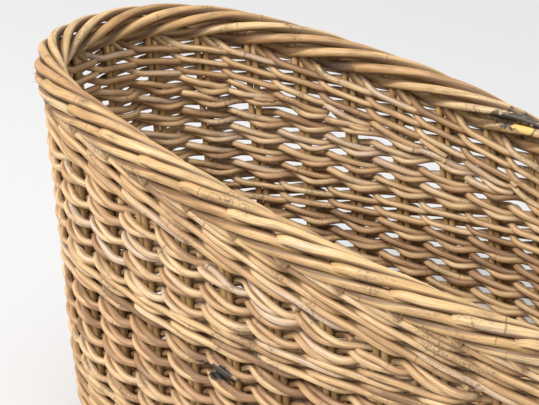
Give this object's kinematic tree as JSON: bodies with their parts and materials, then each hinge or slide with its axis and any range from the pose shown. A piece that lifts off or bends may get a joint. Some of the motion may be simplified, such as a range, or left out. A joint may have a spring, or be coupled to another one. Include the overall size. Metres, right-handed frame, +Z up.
{
  "type": "winnowing basket",
  "caption": "Oval scoop-shaped wicker basket with a high back, a rim that sweeps down to a low front, and a thick rolled cane border.",
  "frame": {"origin": "on the ground, under the middle of the whole basket's box", "axes": "+X towards the low front along the basket's length, +Y to the left seen from the back, +Z up"},
  "size_m": [0.7166, 0.3926, 0.355],
  "materials": {
    "border_cane": "satin, whole cane with its skin on",
    "stake_cane": "matt, peeled cane",
    "stick_cane": "matt, peeled cane",
    "floor_cane": "matt, aged cane",
    "hoop_wood": "matt, worn flat below",
    "wale_cane": "satin, whole cane with its skin on",
    "weaver_cane": "satin, whole cane with its skin on"
  },
  "bodies": {
    "root": {"base_sticks": "stick_cane", "border_core": "border_cane", "border_rod_1": "border_cane", "border_rod_2": "border_cane", "border_rod_3": "border_cane", "border_rod_4": "border_cane", "border_rod_5": "border_cane", "border_rod_6": "border_cane", "floor_rods_over": "floor_cane", "floor_rods_under": "floor_cane", "foot_hoop": "hoop_wood", "foot_wale": "wale_cane", "lower_row_1": "weaver_cane", "lower_row_2": "weaver_cane", "lower_row_3": "weaver_cane", "lower_row_4": "weaver_cane", "lower_row_5": "weaver_cane", "middle_wale": "wale_cane", "stakes_back": "stake_cane", "stakes_front": "stake_cane", "stakes_left": "stake_cane", "stakes_right": "stake_cane", "top_wale_1": "wale_cane", "top_wale_2": "wale_cane", "top_wale_3": "wale_cane", "upper_row_1": "weaver_cane", "upper_row_2": "weaver_cane", "upper_row_3": "weaver_cane", "upper_row_4": "weaver_cane", "upper_row_5": "weaver_cane", "upper_row_6": "weaver_cane"}
  },
  "joints": []
}
